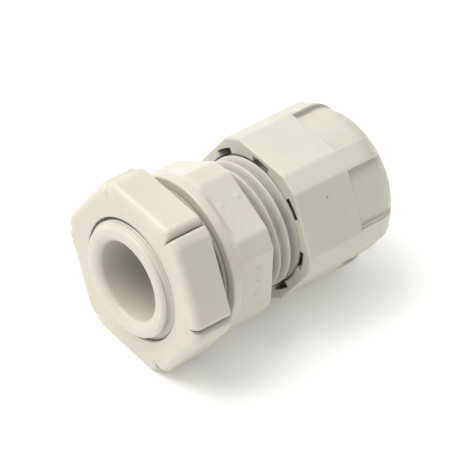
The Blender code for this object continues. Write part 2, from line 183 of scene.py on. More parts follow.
def ring_mesh(name, profile, angles, marks=None):
    """Closed mesh of a profile grid. Normals are the sum of the areas round each point, so that a large
    flat face stays flat beside a small rounded edge. Marks are values per point for the material."""
    points = place(profile[..., 0], profile[..., 1], angles)
    rows, columns = points.shape[:2]
    index = np.arange(rows * columns).reshape(rows, columns)
    right = np.roll(index, -1, axis=1)
    quads = np.stack([index, right, np.roll(right, -1, axis=0), np.roll(index, -1, axis=0)], axis=-1)
    quads = quads.reshape(-1, 4)
    flat_points = points.reshape(-1, 3)
    a, b, c, d = (flat_points[quads[:, i]] for i in range(4))
    area = np.cross(c - a, d - b)
    outward = np.sum(area * (a + b + c + d) / 4) > 0
    if not outward:
        quads, area = quads[:, ::-1], -area
    normals = np.zeros_like(flat_points)
    for i in range(4):
        np.add.at(normals, quads[:, i], area)
    normals /= np.linalg.norm(normals, axis=1, keepdims=True) + 1e-30
    item = new_piece(name, flat_points, quads.tolist())
    item.data.normals_split_custom_set_from_vertices(normals.tolist())
    for key, values in (marks or {}).items():
        layer = item.data.attributes.new(key, "FLOAT", "POINT")
        layer.data.foreach_set("value", np.asarray(values, dtype=np.float32).ravel())
    print(f"{name}: {len(quads) * 2} triangles")
    return item


# %% Smooth steps
def smooth_step(x):
    """0 below 0, 1 above 1, and 3x^2 - 2x^3 between."""
    x = np.clip(x, 0.0, 1.0)
    return x * x * (3.0 - 2.0 * x)


def ramp(x, ease=0.14):
    """0 below 0, 1 above 1 and straight between. Each end is eased by (x + e)^2 / 4e over e either side."""
    def eased(v):
        return np.where(v < -ease, 0.0, np.where(v < ease, (v + ease) ** 2 / (4.0 * ease), v))
    return eased(x) - eased(x - 1.0)


# %% [markdown]
# ## 4. Threads and hexagons
#
# A moulded thread has a narrow flat crest, straight flanks and a flat root. It could be a swept helix,
# but then it would have to be joined to its tube. Here its height depends only on how far a point is
# from the nearest crest along the axis, and the crest moves on by one pitch per turn, so thread and tube
# are one surface. The hexagons have their corners cut off. Taking a soft minimum of the twelve side
# planes gives each edge a small, even rounding, as polishing leaves on the mould.

# %% Threads
def thread_radius(station, angles, outer, pitch, crest):
    """Outer radius less the thread's depth times a ramp of the distance from the nearest crest. There is
    a crest at the given station where the angle is 90, and it moves on by one pitch per turn."""
    phase = (station - crest) / pitch - (np.asarray(angles) - 90.0) / TURN
    from_crest = np.abs(phase - np.round(phase)) * pitch
    return outer - THREAD_DEPTH * ramp((from_crest - CREST_WIDTH / 2) / FLANK_WIDTH)


def thread_rows(start, end, per_pitch, angles, outer, pitch, crest, ends, inside=False):
    """Rows of a thread, held at each end to the end's own radius and let go at 45 degrees from there:
    outwards on a bolt, and inwards in a nut."""
    stations = np.linspace(start, end, max(2, round((end - start) / pitch * per_pitch)) + 1)
    radius = thread_radius(stations[:, None], angles, outer, pitch, crest)
    to_start, to_end = (stations - start)[:, None], (end - stations)[:, None]
    if inside:
        radius = np.maximum(radius, np.maximum(ends[0] - to_start, ends[1] - to_end))
    else:
        radius = np.minimum(radius, np.minimum(ends[0] + to_start, ends[1] + to_end))
    return [(s, r) for s, r in zip(stations, radius)]


# %% Hexagons and spots
def cut_hexagon(angles, half_af, flat_share, turn, softness=0.05):
    """Radius where a ray meets the nearest side: minus softness times log of the sum of exp(-r/softness)
    over six flats and six corner facets, each r being the side's distance over the cosine to it."""
    facet = half_af * (math.cos(math.radians(SECTOR / 2)) + flat_share * math.sin(math.radians(SECTOR / 2)))
    normal = turn + SECTOR / 2 * np.arange(12)
    distance = np.where(np.arange(12) % 2 == 0, half_af, facet)
    cosine = np.cos(np.radians(np.asarray(angles)[:, None] - normal))
    to_side = np.where(cosine > 0.3, distance / np.maximum(cosine, 0.3), 1e3)
    nearest = to_side.min(axis=1)
    return nearest - softness * np.log(np.exp(-(to_side - nearest[:, None]) / softness).sum(axis=1))


def around(angles, middle, start, step):
    """Each angle less a middle, brought into one step that begins at start: (a - m - s) mod step + s."""
    return (np.asarray(angles) - middle - start) % step + start


def bump(station, angles, at_station, at_angle, radius, width):
    """1 at one spot of a surface, and exp(-d^2 / 2w^2) at a distance d from it, with w the width in mm."""
    across = around(angles, at_angle, -180.0, TURN) * math.radians(1.0) * radius
    return np.exp(-((station - at_station) ** 2 + across ** 2) / (2.0 * width ** 2))


# %% [markdown]
# ## 5. The gland body
#
# From left to right it has the entry tube with its rounded lip, the entry thread, the collar, a short
# hexagon and the upper thread. The lip is a full round because that is where the mould's core shuts off.
# Two small witness bumps stand on the upper front flat, where ejector pins pressed, and three plain pips
# on the next flat take the place of the real piece's moulded size mark. The pieces of profile are made
# one by one and then joined, so each can have as many rows as its detail needs.

# %% Angles round the body
PIP_STATION, PIP_ANGLE, PIP_REGION = 2.6, 174.8, 17.0
body_angles = np.unique(np.round(np.concatenate([
    np.arange(0.0, PIP_ANGLE - PIP_REGION, 1.2),
    np.arange(PIP_ANGLE - PIP_REGION, PIP_ANGLE + PIP_REGION, 0.6),
    np.arange(PIP_ANGLE + PIP_REGION + 0.5, TURN, 1.25)]), 3))
hexagon = cut_hexagon(body_angles, BODY_HALF_AF, BODY_FLAT_SHARE, BODY_TURN)
print("angles round the body:", len(body_angles))

# %% Entry tube, with a quarter ellipse inside its tip and a quarter circle outside
LIP_DEPTH, LIP_WIDTH, TIP_ROUND = 0.9, 1.05, 0.55
tube_tip = [(ENTRY_END + 1.6, BORE_R)]
for sweep in np.radians(np.linspace(270.0, 180.0, 9)):
    tube_tip.append((ENTRY_END + LIP_DEPTH * (1.0 + math.cos(sweep)),
                     BORE_R + LIP_WIDTH * (1.0 + math.sin(sweep))))
for sweep in np.radians(np.linspace(180.0, 90.0, 9)):
    tube_tip.append((ENTRY_END + TIP_ROUND * (1.0 + math.cos(sweep)),
                     PILOT_R - TIP_ROUND * (1.0 - math.sin(sweep))))
entry = thread_rows(ENTRY_END + 0.58, SEAT - 0.5, 12, body_angles, ENTRY_R, ENTRY_PITCH, ENTRY_CREST,
                    (PILOT_R, ENTRY_ROOT_R))

# %% Upper thread, with more rows where it can be seen
upper_shown = thread_rows(HEX_END + 0.35, DOME_MOUTH + 0.4, 22, body_angles, UPPER_R, UPPER_PITCH,
                          UPPER_CREST, (UPPER_ROOT_R, UPPER_R))
upper_hidden = thread_rows(DOME_MOUTH + 0.5, TUBE_END - 0.2, 12, body_angles, UPPER_R, UPPER_PITCH,
                           UPPER_CREST, (UPPER_R, UPPER_ROOT_R))

# %% Collar and shoulder
COLLAR_ROUND, SHOULDER_ROUND, INNER_ROUND = 0.3, 0.14, 0.15
collar_corners = [(SEAT, ENTRY_ROOT_R), (SEAT, 8.6), (SEAT, COLLAR_R), (-0.05, COLLAR_R)]
collar = rounded(collar_corners + [(0.5, hexagon), (0.9, hexagon)], body_angles, COLLAR_ROUND)
shoulder_corners = [(HEX_END - 0.25, hexagon), (HEX_END, hexagon), (HEX_END, UPPER_R + 0.2)]
shoulder_corners += [(HEX_END, UPPER_ROOT_R), (HEX_END + 0.3, UPPER_ROOT_R)]
shoulder = rounded(shoulder_corners, body_angles, SHOULDER_ROUND)

# %% Flats, with two witness bumps and three pips
WITNESS_BUMPS = [(1.35, 109.9, 0.12, 0.17), (3.9, 108.9, 0.14, 0.22)]   # station, angle, height, width
PIP_SPACING, PIP_ROW_HALF, PIP_R, PIP_SLOPE, PIP_HEIGHT = 1.8, 2.6, 0.52, 0.2, 0.10
flat_stations = np.concatenate([np.linspace(0.95, 1.6, 5), np.linspace(1.65, 3.55, 30),
                                np.linspace(3.65, HEX_END - 0.3, 8)])
relief = np.zeros((len(flat_stations), len(body_angles)))
for at_station, at_angle, height, width in WITNESS_BUMPS:
    spot = bump(flat_stations[:, None], body_angles, at_station, at_angle, BODY_HALF_AF, width)
    relief += height * spot
across = BODY_HALF_AF * np.tan(np.radians(np.clip(body_angles - PIP_ANGLE, -30.0, 30.0)))
to_pip = around(across, 0.0, -PIP_SPACING / 2, PIP_SPACING)
to_pip = np.where(np.abs(across) > PIP_ROW_HALF, np.inf, to_pip)
from_pip = np.hypot(flat_stations[:, None] - PIP_STATION, to_pip)
relief += PIP_HEIGHT * smooth_step((PIP_R - from_pip) / PIP_SLOPE)
flats = [(s, hexagon + height) for s, height in zip(flat_stations, relief)]

# %% Inside of the body, and the whole profile
inner_corners = [(TUBE_END - 0.15, UPPER_ROOT_R), (TUBE_END, UPPER_ROOT_R - 0.05)]
inner_corners += [(TUBE_END, SEAL_SEAT_R), (TUBE_END - SEAL_SEAT_DEPTH, SEAL_SEAT_R)]
inner_corners += [(TUBE_END - SEAL_SEAT_DEPTH, BORE_R), (ENTRY_END + 3.0, BORE_R)]
inner = rounded(inner_corners, body_angles, INNER_ROUND)
profile = np.concatenate([
    grid(tube_tip, body_angles), grid(entry, body_angles), collar, grid(flats, body_angles), shoulder,
    grid(upper_shown, body_angles), grid(upper_hidden, body_angles), inner])

# %% Recess mark for painted shade, from 0 on a thread's crest to 1 at its root, and the mesh
station, radius = profile[..., 0], profile[..., 1]
on_entry = (station > ENTRY_END + 0.7) & (station < SEAT - 0.3) & (radius > 6.5)
on_upper = (station > HEX_END + 0.1) & (station < TUBE_END) & (radius > 7.0)
depth_below_crest = np.where(on_entry, ENTRY_R - radius, np.where(on_upper, UPPER_R - radius, 0.0))
# The finish lays painted shade into the thread roots by this mark, darker the deeper a point lies.
recess = np.clip(depth_below_crest / THREAD_DEPTH, 0.0, 1.0)
gland_body = ring_mesh("gland_body_moulding", profile, body_angles, {"recess": recess})
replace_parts(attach(gland_body, "gland"), "gland_body")

# %% [markdown]
# ## 6. The lock nut
#
# Its outline is a hexagon with rounded corners. Beside each corner a groove runs along the nut, so that
# the nut looks like a pinwheel: the surface rolls down into the groove and then rises steeply to the
# next flat. The grooves could be cut with a boolean, but an outline that already has them keeps its rows
# even and its edges soft. The front edge has a wide round and the back edge is nearly sharp.

# %% Outline of the lock nut
LOCK_CORNER_R, LOCK_GROOVE_R = 11.73, 10.55
SECTOR_START = -28.0     # degrees from the middle of a flat, where one sector's outline begins
FALL_START, GROOVE, RISE_END = 23.0, 28.4, 30.8


def lock_outline(angles):
    """The flat's half width over the cosine, held by a soft minimum to the corner's radius. From the
    fall's start it goes down to the groove as the root of 1 - f^2.2, and rises as 1 - (1 - f)^2.4."""
    offset = around(angles, 90.0, SECTOR_START, SECTOR)
    plain = LOCK_HALF_AF / np.cos(np.radians(offset))
    soft = np.minimum(plain, LOCK_CORNER_R)
    soft = soft - 0.05 * np.log1p(np.exp(-np.abs(plain - LOCK_CORNER_R) / 0.05))
    start_radius = LOCK_HALF_AF / math.cos(math.radians(FALL_START))
    fall = np.clip((offset - FALL_START) / (GROOVE - FALL_START), 0.0, 1.0)
    rolled = LOCK_GROOVE_R + (start_radius - LOCK_GROOVE_R) * np.sqrt(1.0 - fall ** 2.2)
    next_corner = min(LOCK_HALF_AF / math.cos(math.radians(SECTOR - RISE_END)), LOCK_CORNER_R)
    rise = np.clip((offset - GROOVE) / (RISE_END - GROOVE), 0.0, 1.0)
    steep = LOCK_GROOVE_R + (next_corner - LOCK_GROOVE_R) * (1.0 - (1.0 - rise) ** 2.4)
    return np.where(offset > GROOVE, steep, np.where(offset > FALL_START, rolled, soft))


sector = np.concatenate([np.arange(SECTOR_START, 20.0, 1.2), np.linspace(20.0, 27.0, 15)[1:],
                         np.linspace(27.0, SECTOR + SECTOR_START, 29)[1:-1]])
lock_angles = np.sort(np.concatenate([(90.0 + SECTOR * k + sector) % TURN for k in range(6)]))
outline = lock_outline(lock_angles)
print("lock nut reaches", round(float(outline.max()), 2), "mm from its axis")

# %% Front, rounded edge, side and back
FRONT_ROUND, LOCK_ROUND, BACK_ROUND = 0.12, 0.9, 0.08
front = [(LOCK_FRONT + 0.5, ENTRY_R + 0.02), (LOCK_FRONT, ENTRY_R + 0.05)]
front += [(LOCK_FRONT, 8.3), (LOCK_FRONT, outline - LOCK_ROUND - 0.25)]
front_rows = rounded(front, lock_angles, FRONT_ROUND)
edge_rows = []
for sweep in np.radians(np.linspace(0.0, 90.0, 13)):
    edge_rows.append((LOCK_FRONT + LOCK_ROUND * (1.0 - math.cos(sweep)),
                      outline - LOCK_ROUND * (1.0 - math.sin(sweep))))
side_rows = [(s, outline) for s in np.linspace(LOCK_FRONT + LOCK_ROUND + 0.2, LOCK_BACK - 0.25, 12)]
back = [(LOCK_BACK - 0.2, outline), (LOCK_BACK, outline), (LOCK_BACK, 8.85), (LOCK_BACK, 7.8)]
back_rows = rounded(back + [(LOCK_BACK - 0.4, 7.5)], lock_angles, BACK_ROUND)
nut_thread = thread_rows(LOCK_FRONT + 0.6, LOCK_BACK - 0.45, 14, lock_angles, ENTRY_R + RUNNING_GAP,
                         ENTRY_PITCH, ENTRY_CREST, (ENTRY_R, ENTRY_R - 0.1), inside=True)
profile = np.concatenate([front_rows, grid(edge_rows, lock_angles), grid(side_rows, lock_angles),
                          back_rows, grid(nut_thread[::-1], lock_angles)])

# %% Painted-shade mark in the thread and along the grooves, and the mesh
# Painted shade: how dark the recess mark makes the grooves' roots and the nut's own thread.
GROOVE_SHADE, THREAD_SHADE = 0.9, 0.5
station, radius = profile[..., 0], profile[..., 1]
in_thread = (radius < ENTRY_R + RUNNING_GAP) & (station > LOCK_FRONT + 0.3)
along_groove = (radius > 9.4) & (station > LOCK_FRONT + 0.15)
groove_line = np.exp(-((around(lock_angles, 90.0, SECTOR_START, SECTOR) - GROOVE) / 0.7) ** 2)
recess = THREAD_SHADE * in_thread + GROOVE_SHADE * groove_line * along_groove
lock_nut = ring_mesh("lock_nut_moulding", profile, lock_angles, {"recess": recess})
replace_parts(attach(lock_nut, "lock_nut"), "lock_nut")

# %% [markdown]
# ## 7. The sealing washer
#
# A thin flat ring lies on the collar's face and seals it against the enclosure wall. It is punched or
# moulded with soft edges, so its section is a rectangle with rounded corners, turned round the axis. The
# profile starts and ends in the middle of its inner side, where the seam can't be seen.

# %% Sealing washer
turned_angles = np.arange(0.0, TURN, 2.0)
SEAM = 0.01              # what the first and last point of a turned profile are apart
WASHER_FRONT, WASHER_BACK = span("sealing_washer")
WASHER_R, WASHER_HOLE_R = reach("sealing_washer"), ENTRY_R + 0.15
middle = (WASHER_FRONT + WASHER_BACK) / 2
corners = [(middle, WASHER_HOLE_R), (WASHER_FRONT, WASHER_HOLE_R), (WASHER_FRONT, WASHER_R)]
corners += [(WASHER_BACK, WASHER_R), (WASHER_BACK, WASHER_HOLE_R), (middle + SEAM, WASHER_HOLE_R)]
washer = ring_mesh("sealing_washer_ring", rounded(corners, turned_angles, 0.12), turned_angles)
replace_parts(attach(washer, "washer"), "sealing_washer")

# %% [markdown]
# ## 8. The dome nut
#
# The spanner end is a hexagon with its corners cut off. Beyond the middle, each flat steps down to a
# turned dome surface, and only the corners go on as ribs that curve in to the end. Eight shallow
# notches round the mouth are where the mould's core took hold, and three small marks show the gates.
# Modelled by hand this would be a dome with six ribs added. Here the outside is one surface, the larger
# of the dome's radius and the rib's, because then each rib runs out into the dome by itself.

# %% Angles round the dome nut, closer at the ribs' sides and the notches' sides
NOTCH_COUNT, NOTCH_FIRST, NOTCH_HALF, NOTCH_R, NOTCH_DEPTH = 8, 1.0, 9.1, 8.87, 1.3
NOTCH_STEP = TURN / NOTCH_COUNT
RIB_SIDE = math.degrees(math.atan(DOME_FLAT_SHARE)) - 1.3
rib_side = np.linspace(RIB_SIDE - 0.3, RIB_SIDE + 0.9, 9)
rib_edge = np.array([22.1, 22.8, 23.5])
sector = np.unique(np.round(np.concatenate([
    np.arange(-SECTOR / 2, SECTOR / 2, 1.2), rib_side, -rib_side, rib_edge, -rib_edge]), 3))
notch_sides = np.concatenate([
    NOTCH_FIRST + NOTCH_STEP * k + side * NOTCH_HALF + np.array([-0.06, 0.06])
    for k in range(NOTCH_COUNT) for side in (-1, 1)])
dome_angles = np.concatenate([(DOME_TURN + SECTOR * k + sector) % TURN for k in range(6)]
                             + [notch_sides % TURN])
dome_angles = np.sort(dome_angles)
dome_angles = dome_angles[np.concatenate([[True], np.diff(dome_angles) > 0.04])]
dome_hexagon = cut_hexagon(dome_angles, DOME_HALF_AF, DOME_FLAT_SHARE, DOME_TURN)
print("angles round the dome nut:", len(dome_angles))


# %% Pads, ribs and dome
def quarter_ellipse(stations, start, end, top, drop):
    """Straight until start, then a quarter of an ellipse that falls by drop when it reaches end:
    top less drop times 1 minus the root of 1 - f^2."""
    along = np.clip((stations - start) / (end - start), 0.0, 1.0)
    return top - drop * (1.0 - np.sqrt(1.0 - along ** 2))


PAD_START = DOME_END - 7.1
PAD_FLOOR_R = 9.33
DOME_CURVE, DOME_DROP, RIB_CURVE = 3.7, 3.3, 4.4
skin_stations = np.concatenate([
    np.linspace(DOME_MOUTH + 0.5, PAD_START - 0.12, 24), np.linspace(PAD_START - 0.06, PAD_START + 0.14, 7),
    np.linspace(PAD_START + 0.2, DOME_END - 4.5, 10),
    DOME_END - RIB_CURVE + RIB_CURVE * np.sin(np.linspace(0.0, math.pi / 2, 30))])[:, None]
floor_radius = quarter_ellipse(skin_stations, DOME_END - DOME_CURVE, DOME_END, PAD_FLOOR_R, DOME_DROP)
corner_radius = DOME_HALF_AF * math.hypot(1.0, DOME_FLAT_SHARE)
rib_share = quarter_ellipse(skin_stations, DOME_END - RIB_CURVE, DOME_END - 0.3, corner_radius, RIB_CURVE)
rib_radius = np.maximum(dome_hexagon * rib_share / corner_radius, floor_radius)
from_flat = np.abs(around(dome_angles, DOME_TURN, -SECTOR / 2, SECTOR))
on_pad = smooth_step((RIB_SIDE + 0.6 - from_flat) / 0.6) * smooth_step((skin_stations - PAD_START) / 0.1)
skin = rib_radius + (floor_radius - rib_radius) * on_pad

# %% Gate marks, the stain in two of them, and painted shade along the steps
GATES = [(14.2, 138.3, 0.11), (15.1, 71.0, 0.10), (15.0, 90.0, 0.22)]   # station, angle, width
GATE_DEPTH, STEP_SHADE = 0.05, 0.55
stain_and_shade = np.zeros_like(skin)
for gate_station, gate_angle, gate_width in GATES:
    spot = bump(skin_stations, dome_angles, gate_station, gate_angle, DOME_HALF_AF, gate_width)
    skin = skin - GATE_DEPTH * spot
    if gate_width < 0.2:
        stain_and_shade = stain_and_shade + spot
# Painted shade: a thin dark line where each pad steps down from its rib, deeper where the step is higher.
step_height = np.clip((rib_radius - floor_radius) / 0.5, 0.0, 1.0)
stain_and_shade = stain_and_shade + STEP_SHADE * step_height * 4.0 * on_pad * (1.0 - on_pad)

# %% Mouth: the plain one goes across and then in, and a notch goes in first
dome_bore = UPPER_R + RUNNING_GAP
dome_root = UPPER_ROOT_R + RUNNING_GAP
in_notch = (np.abs(around(dome_angles, NOTCH_FIRST, -NOTCH_STEP / 2, NOTCH_STEP)) < NOTCH_HALF).astype(float)
t = np.linspace(0.0, 1.0, 13)
plain_station = np.interp(t, [0, 0.5, 1], [0.0, 0.0, NOTCH_DEPTH])[:, None]
plain_radius = np.interp(t, [0, 0.5, 1], [NOTCH_R, dome_bore, dome_bore])[:, None]
notch_station = np.interp(t, [0, 0.5, 1], [0.0, NOTCH_DEPTH, NOTCH_DEPTH])[:, None]
notch_radius = np.interp(t, [0, 0.5, 1], [NOTCH_R, NOTCH_R, dome_bore])[:, None]
mouth_station = DOME_MOUTH + plain_station * (1 - in_notch) + notch_station * in_notch
mouth_radius = plain_radius * (1 - in_notch) + notch_radius * in_notch
mouth = np.stack([mouth_station, mouth_radius], axis=-1)[::-1]

# %% Lip, exit hole, cone and thread
LIP_ROUND, EXIT_ROUND = 0.28, 0.25
DOME_THREAD_END, CONE_START = DOME_MOUTH + 8.2, DOME_MOUTH + 9.2
lip = [(DOME_MOUTH, NOTCH_R + 0.02), (DOME_MOUTH, 9.0), (DOME_MOUTH, dome_hexagon - 0.02)]
lip_rows = rounded(lip + [(DOME_MOUTH + 0.45, dome_hexagon)], dome_angles, LIP_ROUND, 6)
exit_edge = [(DOME_END - 0.02, PAD_FLOOR_R - DOME_DROP - 0.05), (DOME_END, 5.5), (DOME_END, BORE_R)]
exit_edge += [(DOME_END - 0.9, BORE_R), (CONE_START, dome_root), (DOME_THREAD_END, dome_root)]
exit_rows = rounded(exit_edge, dome_angles, EXIT_ROUND)
dome_thread = thread_rows(DOME_MOUTH + NOTCH_DEPTH + 0.1, DOME_THREAD_END - 0.3, 12, dome_angles, dome_bore,
                          UPPER_PITCH, UPPER_CREST, (dome_bore, dome_root), inside=True)
skin_grid = np.stack([skin_stations + 0 * skin, skin], axis=-1)
profile = np.concatenate([mouth, lip_rows, skin_grid, exit_rows, grid(dome_thread[::-1], dome_angles)])

# %% Painted-shade and stain marks, and the mesh
# Painted shade: the nut's inside darkens away from its exit, and the notches take the full recess mark and a
# brown painted shade.
INSIDE_SHADE, NOTCH_SHADE = 0.6, 0.62
skin_from = len(mouth) + len(lip_rows)
skin_to = skin_from + len(skin)
recess = np.zeros(profile.shape[:2])
recess[skin_to:] = INSIDE_SHADE * smooth_step((DOME_END - 0.4 - profile[skin_to:, :, 0]) / 1.5)
recess[:len(mouth)] = in_notch
stain_and_shade_marks = np.zeros(profile.shape[:2])
stain_and_shade_marks[skin_from:skin_to] = np.clip(stain_and_shade, 0.0, 1.0)
stain_and_shade_marks[:len(mouth)] = NOTCH_SHADE * in_notch
dome_nut = ring_mesh("dome_nut_moulding", profile, dome_angles, {"recess": recess, "stain_and_shade": stain_and_shade_marks})
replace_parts(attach(dome_nut, "dome_nut"), "dome_nut")

# %% [markdown]
# ## 9. The claw and the seal
#
# Inside the dome nut eight fingers stand on a ring. When the nut is tightened its cone bends them
# inwards on to the rubber seal, and two small teeth on each one grip the cable. A finger could be cut
# from a turned shell, but each has to bend by itself, so each is a bar of its own. Its section is a
# sector with soft corners, and it narrows towards both ends, so that its root clears the ring as it
# bends. The ring and the seal are turned shapes like the washer.

# %% Sizes of the claw and the seal
CLAW_BASE, CLAW_TOP = span("claw_ring")
FINGER_ROOT, FINGER_TIP = span("claw_finger_1")
SEAL_BASE, SEAL_TIP = span("rubber_seal")
CLAW_R, SEAL_R = reach("claw_ring"), reach("rubber_seal")
SEAL_BORE_R = 4.1
FINGER_COUNT = 8
FINGER_INNER_R, FINGER_OUTER_R, FINGER_TOOTH = 5.5, 6.48, 0.35
FINGER_HALF_ANGLE, FINGER_TAPER = 17.4, 3.0
SQUARENESS = 0.3         # power that squares a circle: 1 is a circle and 0 a sharp rectangle


# %% One finger
def finger_rows(middle, columns):
    """Rows of section points at (sign(cos t)|cos t|^0.3, sign(sin t)|sin t|^0.3), stretched to half the
    angle and half the thickness, from the root to the tip."""
    share = np.concatenate([[0.0, 0.004, 0.012, 0.03], np.linspace(0.06, 0.955, 44),
                            [0.975, 0.99, 0.997, 1.0]])
    grow = np.concatenate([[0.82, 0.91, 0.97, 1.0], np.ones(44), [0.985, 0.95, 0.90, 0.82]])
    tooth = np.interp(share, [0, 0.62, 0.70, 0.80, 0.90, 1.0], [0, 0, 1, 0, 1, 0.5])
    inner = FINGER_INNER_R - FINGER_TOOTH * tooth
    outer = np.interp(share, [0, 0.80, 1.0], [FINGER_OUTER_R, FINGER_OUTER_R, FINGER_OUTER_R - 0.5])
    half_angle = FINGER_HALF_ANGLE - FINGER_TAPER * share
    t = np.linspace(0.0, 2.0 * math.pi, columns, endpoint=False)
    sideways = np.sign(np.cos(t)) * np.abs(np.cos(t)) ** SQUARENESS
    outwards = np.sign(np.sin(t)) * np.abs(np.sin(t)) ** SQUARENESS
    station = (FINGER_ROOT + (FINGER_TIP - FINGER_ROOT) * share)[:, None] + 0.0 * t
    radius = ((inner + outer) / 2)[:, None] + ((outer - inner) / 2 * grow)[:, None] * outwards
    return place(station, radius, middle + (half_angle * grow)[:, None] * sideways)


def finger_mesh(name, middle, columns=64):
    """A finger's rows joined by quads, and each end closed by a fan round the middle of its row."""
    rows = finger_rows(middle, columns)
    ends = np.stack([rows[0].mean(axis=0), rows[-1].mean(axis=0)])
    index = np.arange(rows.shape[0] * columns).reshape(-1, columns)
    ahead = np.roll(index, -1, axis=1)
    quads = np.stack([index[:-1], index[1:], ahead[1:], ahead[:-1]], axis=-1).reshape(-1, 4)
    root, tip = index.size, index.size + 1
    fans = [(root, a, b) for a, b in zip(index[0].tolist(), ahead[0].tolist())]
    fans += [(tip, b, a) for a, b in zip(index[-1].tolist(), ahead[-1].tolist())]
    return new_piece(name, np.concatenate([rows.reshape(-1, 3), ends]), quads.tolist() + fans)


# %% Eight fingers round the axis
claw_pieces = []
for i in range(1, FINGER_COUNT + 1):
    finger = finger_mesh(f"claw_finger_{i}_moulding", DOME_TURN + TURN / FINGER_COUNT * (i - 1))
    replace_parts(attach(finger, f"finger_{i}"), f"claw_finger_{i}")
    claw_pieces.append(finger)
print("claw fingers:", len(claw_pieces))

# %% Claw ring and rubber seal
middle = (CLAW_BASE + CLAW_TOP) / 2
corners = [(middle, SEAL_SEAT_R), (CLAW_BASE, SEAL_SEAT_R), (CLAW_BASE, CLAW_R), (CLAW_TOP, CLAW_R)]
corners += [(CLAW_TOP, SEAL_SEAT_R), (middle + SEAM, SEAL_SEAT_R)]
claw_ring = ring_mesh("claw_ring_moulding", rounded(corners, turned_angles, 0.15), turned_angles)
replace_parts(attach(claw_ring, "gland"), "claw_ring")
claw_pieces.append(claw_ring)

corners = [(SEAL_BASE + 2.0, SEAL_BORE_R), (SEAL_BASE + 0.7, SEAL_BORE_R), (SEAL_BASE, SEAL_BORE_R + 0.6)]
corners += [(SEAL_BASE, SEAL_R), (CLAW_TOP - 0.6, SEAL_R), (CLAW_TOP, 5.35), (SEAL_TIP, SEAL_BORE_R + 0.45)]
corners += [(SEAL_TIP, SEAL_BORE_R), (SEAL_BASE + 2.1, SEAL_BORE_R)]
seal = ring_mesh("rubber_seal_moulding", rounded(corners, turned_angles, 0.2), turned_angles)
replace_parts(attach(seal, "seal"), "rubber_seal")

# %% [markdown]
# ## 10. Finishes
#
# Injection-moulded polyamide is slightly warm in tint and slightly cloudy: light goes a little way into
# it. A moulded surface has a fine grain from the mould and a shallow waviness where it shrank. Handling
# leaves a few dark specks of dust and some shinier and duller patches. The recesses, notches and steps
# get painted shade, a grey and a brown laid in by marks on each piece. An image could show all this, but
# noises at their real size in millimetres fit every piece without a seam.

# %% Colour and node helpers
def linear(colour):
    """A hex sRGB colour as linear light with alpha 1: each channel c is c / 12.92 up to 0.04045, and
    above that (c + 0.055) / 1.055 to the power 2.4."""
    channels = np.array([colour >> 16, colour >> 8 & 0xFF, colour & 0xFF]) / 255.0
    light = np.where(channels <= 0.04045, channels / 12.92, ((channels + 0.055) / 1.055) ** 2.4)
    return (*light.tolist(), 1.0)


def add(tree, kind, inputs=None, output=0, **settings):
    """Adds a node, sets its options, sets or links each input by name or number, and gives one output."""
    node = tree.nodes.new(kind)
    for key, value in settings.items():
        setattr(node, key, value)
    for key, value in (inputs or {}).items():
        if isinstance(value, bpy.types.NodeSocket):
            tree.links.new(value, node.inputs[key])
        else:
            node.inputs[key].default_value = value
    return node.outputs[output]


def scale_of(size_mm):
    """The Scale of a noise whose features are about size_mm across: one over the size in metres."""
    return 1.0 / (size_mm * MM)


def new_finish(name):
    """An empty finish: the material, its node tree and its shader."""
    material = bpy.data.materials.new(name)
    material.use_nodes = True
    return material, material.node_tree, material.node_tree.nodes["Principled BSDF"]


# %% Moulded polyamide: satin, slightly cloudy, with painted shade in its recesses
# The grey is both the dust of the specks and the painted shade in recesses; the brown is both the gate
# stains and the painted shade in the notches and along the steps.
DUST_AND_SHADE, STAIN_AND_SHADE, ONE_SHADE = 0x8A8D87, 0x5C5032, 0x050505
CLOUD_MM, SPECK_MM, SCUFF_MM, WAVE_MM = 5.0, 0.3, 1.6, 2.5
GRAIN_MM = 0.12          # about three times the real mould grain, which is too fine to show


def polyamide_tint(tree, where, colour):
    """Clouds between the colour and one shade below it, then dust specks, then painted shade by the
    recess mark, then gate stains and painted shade by the stain mark, each laid over the last."""
    clouds = add(tree, "ShaderNodeTexNoise", {"Vector": where, "Scale": scale_of(CLOUD_MM), "Detail": 3.0})
    shade = add(tree, "ShaderNodeMapRange", {"Value": clouds, "From Min": 0.35, "From Max": 0.65})
    tint = add(tree, "ShaderNodeMix", {0: shade, 6: linear(colour), 7: linear(colour - ONE_SHADE)}, 2,
               data_type="RGBA")
    specks = add(tree, "ShaderNodeTexNoise", {"Vector": where, "Scale": scale_of(SPECK_MM), "Detail": 1.0})
    specks = add(tree, "ShaderNodeMapRange",
                 {"Value": specks, "From Min": 0.70, "From Max": 0.76, "To Max": 0.25})
    tint = add(tree, "ShaderNodeMix", {0: specks, 6: tint, 7: linear(DUST_AND_SHADE)}, 2, data_type="RGBA")
    # Painted shade: the recess mark darkens thread roots, grooves, notches and the nut's inside towards the
    # grey.
    recess = add(tree, "ShaderNodeAttribute", output="Fac", attribute_name="recess")
    patches = add(tree, "ShaderNodeMapRange",
                  {"Value": clouds, "From Min": 0.3, "From Max": 0.7, "To Min": 0.5, "To Max": 0.8})
    recess_shade = add(tree, "ShaderNodeMath", {0: recess, 1: patches}, operation="MULTIPLY")
    tint = add(tree, "ShaderNodeMix", {0: recess_shade, 6: tint, 7: linear(DUST_AND_SHADE)}, 2, data_type="RGBA")
    # The stain mark is partly real gate stains and partly painted shade in the notches and along the pad
    # steps.
    stain_and_shade = add(tree, "ShaderNodeAttribute", output="Fac", attribute_name="stain_and_shade")
    stain_and_shade = add(tree, "ShaderNodeMapRange",
                {"Value": stain_and_shade, "From Min": 0.3, "From Max": 0.8, "To Max": 0.9})
    return add(tree, "ShaderNodeMix", {0: stain_and_shade, 6: tint, 7: linear(STAIN_AND_SHADE)}, 2, data_type="RGBA")


